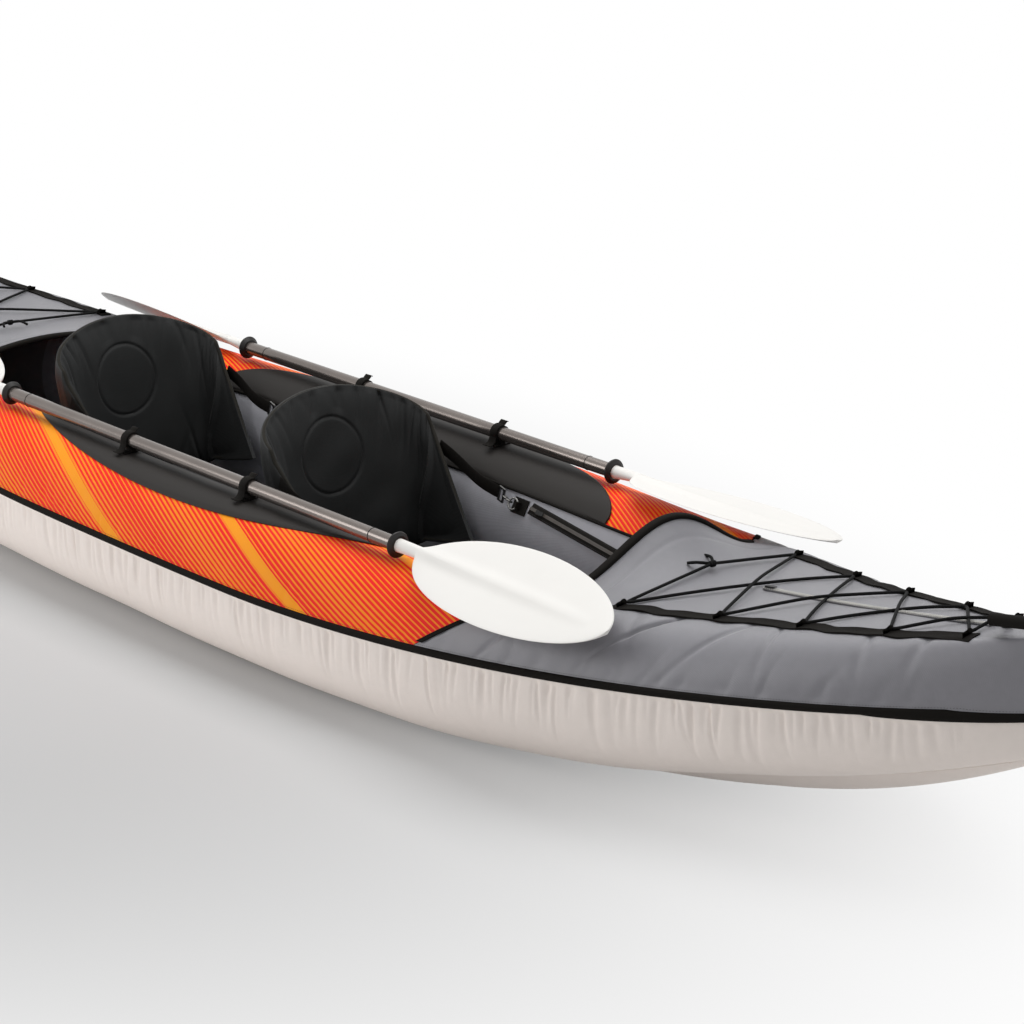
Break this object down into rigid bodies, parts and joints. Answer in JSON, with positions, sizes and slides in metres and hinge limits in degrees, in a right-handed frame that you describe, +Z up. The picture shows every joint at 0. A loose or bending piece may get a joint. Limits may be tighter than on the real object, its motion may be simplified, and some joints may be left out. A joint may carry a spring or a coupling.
{
  "type": "tandem kayak",
  "caption": "Inflatable tandem kayak with fabric cover, laced decks, padded seats with wings, and take-apart paddles stowed along its side tubes.",
  "frame": {"origin": "on the ground under the middle of the hull", "axes": "+X towards the bow, +Y to port, +Z up"},
  "size_m": [4.3, 0.9084, 0.5034],
  "materials": {
    "cover_white": "coated woven cover cloth, matt",
    "cover_print": "printed woven cover cloth, satin",
    "wall_cloth": "coated cloth, matt",
    "deck_cloth": "woven cover cloth, satin",
    "bladder_film": "vinyl film",
    "floor_cloth": "coated cloth, matt",
    "dark_tape": "woven tape, matt",
    "patch_rubber": "smooth rubber coating",
    "bungee_cord": "braided elastic cord",
    "dark_plastic": "moulded, matt",
    "seat_cloth": "padded cloth, matt",
    "wire_steel": "plated wire",
    "shaft_metal": "dark anodised tube",
    "blade_plastic": "moulded, satin",
    "ring_rubber": "moulded"
  },
  "bodies": {
    "hull": {"bottom_panel": "cover_white", "bow_deck": "deck_cloth", "stern_deck": "deck_cloth", "floor_mat": "floor_cloth", "hull_piping": "dark_tape", "deck_bindings": "dark_tape", "panel_trims": "dark_tape", "deck_webbings": "dark_tape", "bow_bungee": "bungee_cord", "stern_bungee": "bungee_cord", "deck_zips": "dark_plastic", "wall_zips": "dark_plastic", "paddle_straps": "dark_tape", "handle_anchors": "dark_plastic", "ring_patches": "dark_tape", "seat_rings": "wire_steel", "strap_hooks": "wire_steel", "valve_bodies": "dark_plastic", "chine_panel_port": "cover_white", "side_cover_port": "cover_print", "inner_wall_port": "wall_cloth", "side_bladder_port": "bladder_film", "gunwale_patch_port": "patch_rubber", "front_strap_port": "dark_tape", "rear_strap_port": "dark_tape", "chine_panel_starboard": "cover_white", "side_cover_starboard": "cover_print", "inner_wall_starboard": "wall_cloth", "side_bladder_starboard": "bladder_film", "gunwale_patch_starboard": "patch_rubber", "front_strap_starboard": "dark_tape", "rear_strap_starboard": "dark_tape", "front_seat_pad": "seat_cloth", "rear_seat_pad": "seat_cloth"},
    "front_back": {"front_backrest": "seat_cloth"},
    "rear_back": {"rear_backrest": "seat_cloth"},
    "paddle_port": {"paddle_shaft_port": "shaft_metal"},
    "blade_front_port_end": {"blade_stub_front_port": "shaft_metal", "blade_front_port": "blade_plastic"},
    "ring_front_port": {"drip_ring_front_port": "ring_rubber"},
    "blade_rear_port_end": {"blade_stub_rear_port": "shaft_metal", "blade_rear_port": "blade_plastic"},
    "ring_rear_port": {"drip_ring_rear_port": "ring_rubber"},
    "paddle_starboard": {"paddle_shaft_starboard": "shaft_metal"},
    "blade_front_starboard_end": {"blade_stub_front_starboard": "shaft_metal", "blade_front_starboard": "blade_plastic"},
    "ring_front_starboard": {"drip_ring_front_starboard": "ring_rubber"},
    "blade_rear_starboard_end": {"blade_stub_rear_starboard": "shaft_metal", "blade_rear_starboard": "blade_plastic"},
    "ring_rear_starboard": {"drip_ring_rear_starboard": "ring_rubber"},
    "bow_grip": {"bow_handle": "dark_plastic"},
    "bow_slider": {"bow_zip_slider": "dark_plastic"},
    "stern_grip": {"stern_handle": "dark_plastic"},
    "stern_slider": {"stern_zip_slider": "dark_plastic"},
    "wall_slider_body_port": {"wall_slider_port": "dark_plastic"},
    "cap_port": {"valve_cap_port": "dark_plastic"},
    "wall_slider_body_starboard": {"wall_slider_starboard": "dark_plastic"},
    "cap_starboard": {"valve_cap_starboard": "dark_plastic"},
    "floor_cap": {"floor_valve_cap": "dark_plastic"}
  },
  "joints": [
    {"name": "front_recline", "type": "hinge", "parent": "hull", "child": "front_back", "pos_m": [0.17376, 0, 0.0924], "axis": [0, 1, 0], "range_deg": [-20, 8], "deforming": ["front_strap_port", "front_strap_starboard"]},
    {"name": "rear_recline", "type": "hinge", "parent": "hull", "child": "rear_back", "pos_m": [-0.60724, 0, 0.0924], "axis": [0, 1, 0], "range_deg": [-20, 8], "deforming": ["rear_strap_port", "rear_strap_starboard"]},
    {"name": "paddle_slide_port", "type": "slide", "parent": "hull", "child": "paddle_port", "axis": [1, 0, 0], "range_m": [-0.05, 0.05]},
    {"name": "blade_front_port_pull", "type": "slide", "parent": "paddle_port", "child": "blade_front_port_end", "axis": [1, 0, 0], "range_m": [0, 0.06]},
    {"name": "ring_front_port_slide", "type": "slide", "parent": "blade_front_port_end", "child": "ring_front_port", "axis": [-1, 0, 0], "range_m": [0, 0.055]},
    {"name": "blade_rear_port_pull", "type": "slide", "parent": "paddle_port", "child": "blade_rear_port_end", "axis": [-1, 0, 0], "range_m": [0, 0.06]},
    {"name": "ring_rear_port_slide", "type": "slide", "parent": "blade_rear_port_end", "child": "ring_rear_port", "axis": [1, 0, 0], "range_m": [0, 0.055]},
    {"name": "paddle_slide_starboard", "type": "slide", "parent": "hull", "child": "paddle_starboard", "axis": [1, 0, 0], "range_m": [-0.05, 0.05]},
    {"name": "blade_front_starboard_pull", "type": "slide", "parent": "paddle_starboard", "child": "blade_front_starboard_end", "axis": [1, 0, 0], "range_m": [0, 0.06]},
    {"name": "ring_front_starboard_slide", "type": "slide", "parent": "blade_front_starboard_end", "child": "ring_front_starboard", "axis": [-1, 0, 0], "range_m": [0, 0.055]},
    {"name": "blade_rear_starboard_pull", "type": "slide", "parent": "paddle_starboard", "child": "blade_rear_starboard_end", "axis": [-1, 0, 0], "range_m": [0, 0.06]},
    {"name": "ring_rear_starboard_slide", "type": "slide", "parent": "blade_rear_starboard_end", "child": "ring_rear_starboard", "axis": [1, 0, 0], "range_m": [0, 0.055]},
    {"name": "bow_handle_swing", "type": "hinge", "parent": "hull", "child": "bow_grip", "pos_m": [2.07056, 0, 0.47023], "axis": [0.9837, 0, 0.1796], "range_deg": [-140, 0]},
    {"name": "bow_zip_slide", "type": "slide", "parent": "hull", "child": "bow_slider", "axis": [0.9934, 0, 0.1144], "range_m": [0, 0.06]},
    {"name": "stern_handle_swing", "type": "hinge", "parent": "hull", "child": "stern_grip", "pos_m": [-2.07056, 0, 0.47023], "axis": [0.9837, 0, -0.1796], "range_deg": [-140, 0]},
    {"name": "stern_zip_slide", "type": "slide", "parent": "hull", "child": "stern_slider", "axis": [-0.9958, 0, 0.0914], "range_m": [0, 0.06]},
    {"name": "wall_zip_slide_port", "type": "slide", "parent": "hull", "child": "wall_slider_body_port", "axis": [0.9926, -0.1005, -0.0676], "range_m": [0, 0.12]},
    {"name": "valve_cap_pull_port", "type": "slide", "parent": "hull", "child": "cap_port", "axis": [0.0981, -0.9952, 0], "range_m": [0, 0.03]},
    {"name": "wall_zip_slide_starboard", "type": "slide", "parent": "hull", "child": "wall_slider_body_starboard", "axis": [0.9926, 0.1005, -0.0676], "range_m": [0, 0.12]},
    {"name": "valve_cap_pull_starboard", "type": "slide", "parent": "hull", "child": "cap_starboard", "axis": [0.0981, 0.9952, 0], "range_m": [0, 0.03]},
    {"name": "floor_valve_cap_pull", "type": "slide", "parent": "hull", "child": "floor_cap", "axis": [0, 0, 1], "range_m": [0, 0.03]}
  ]
}
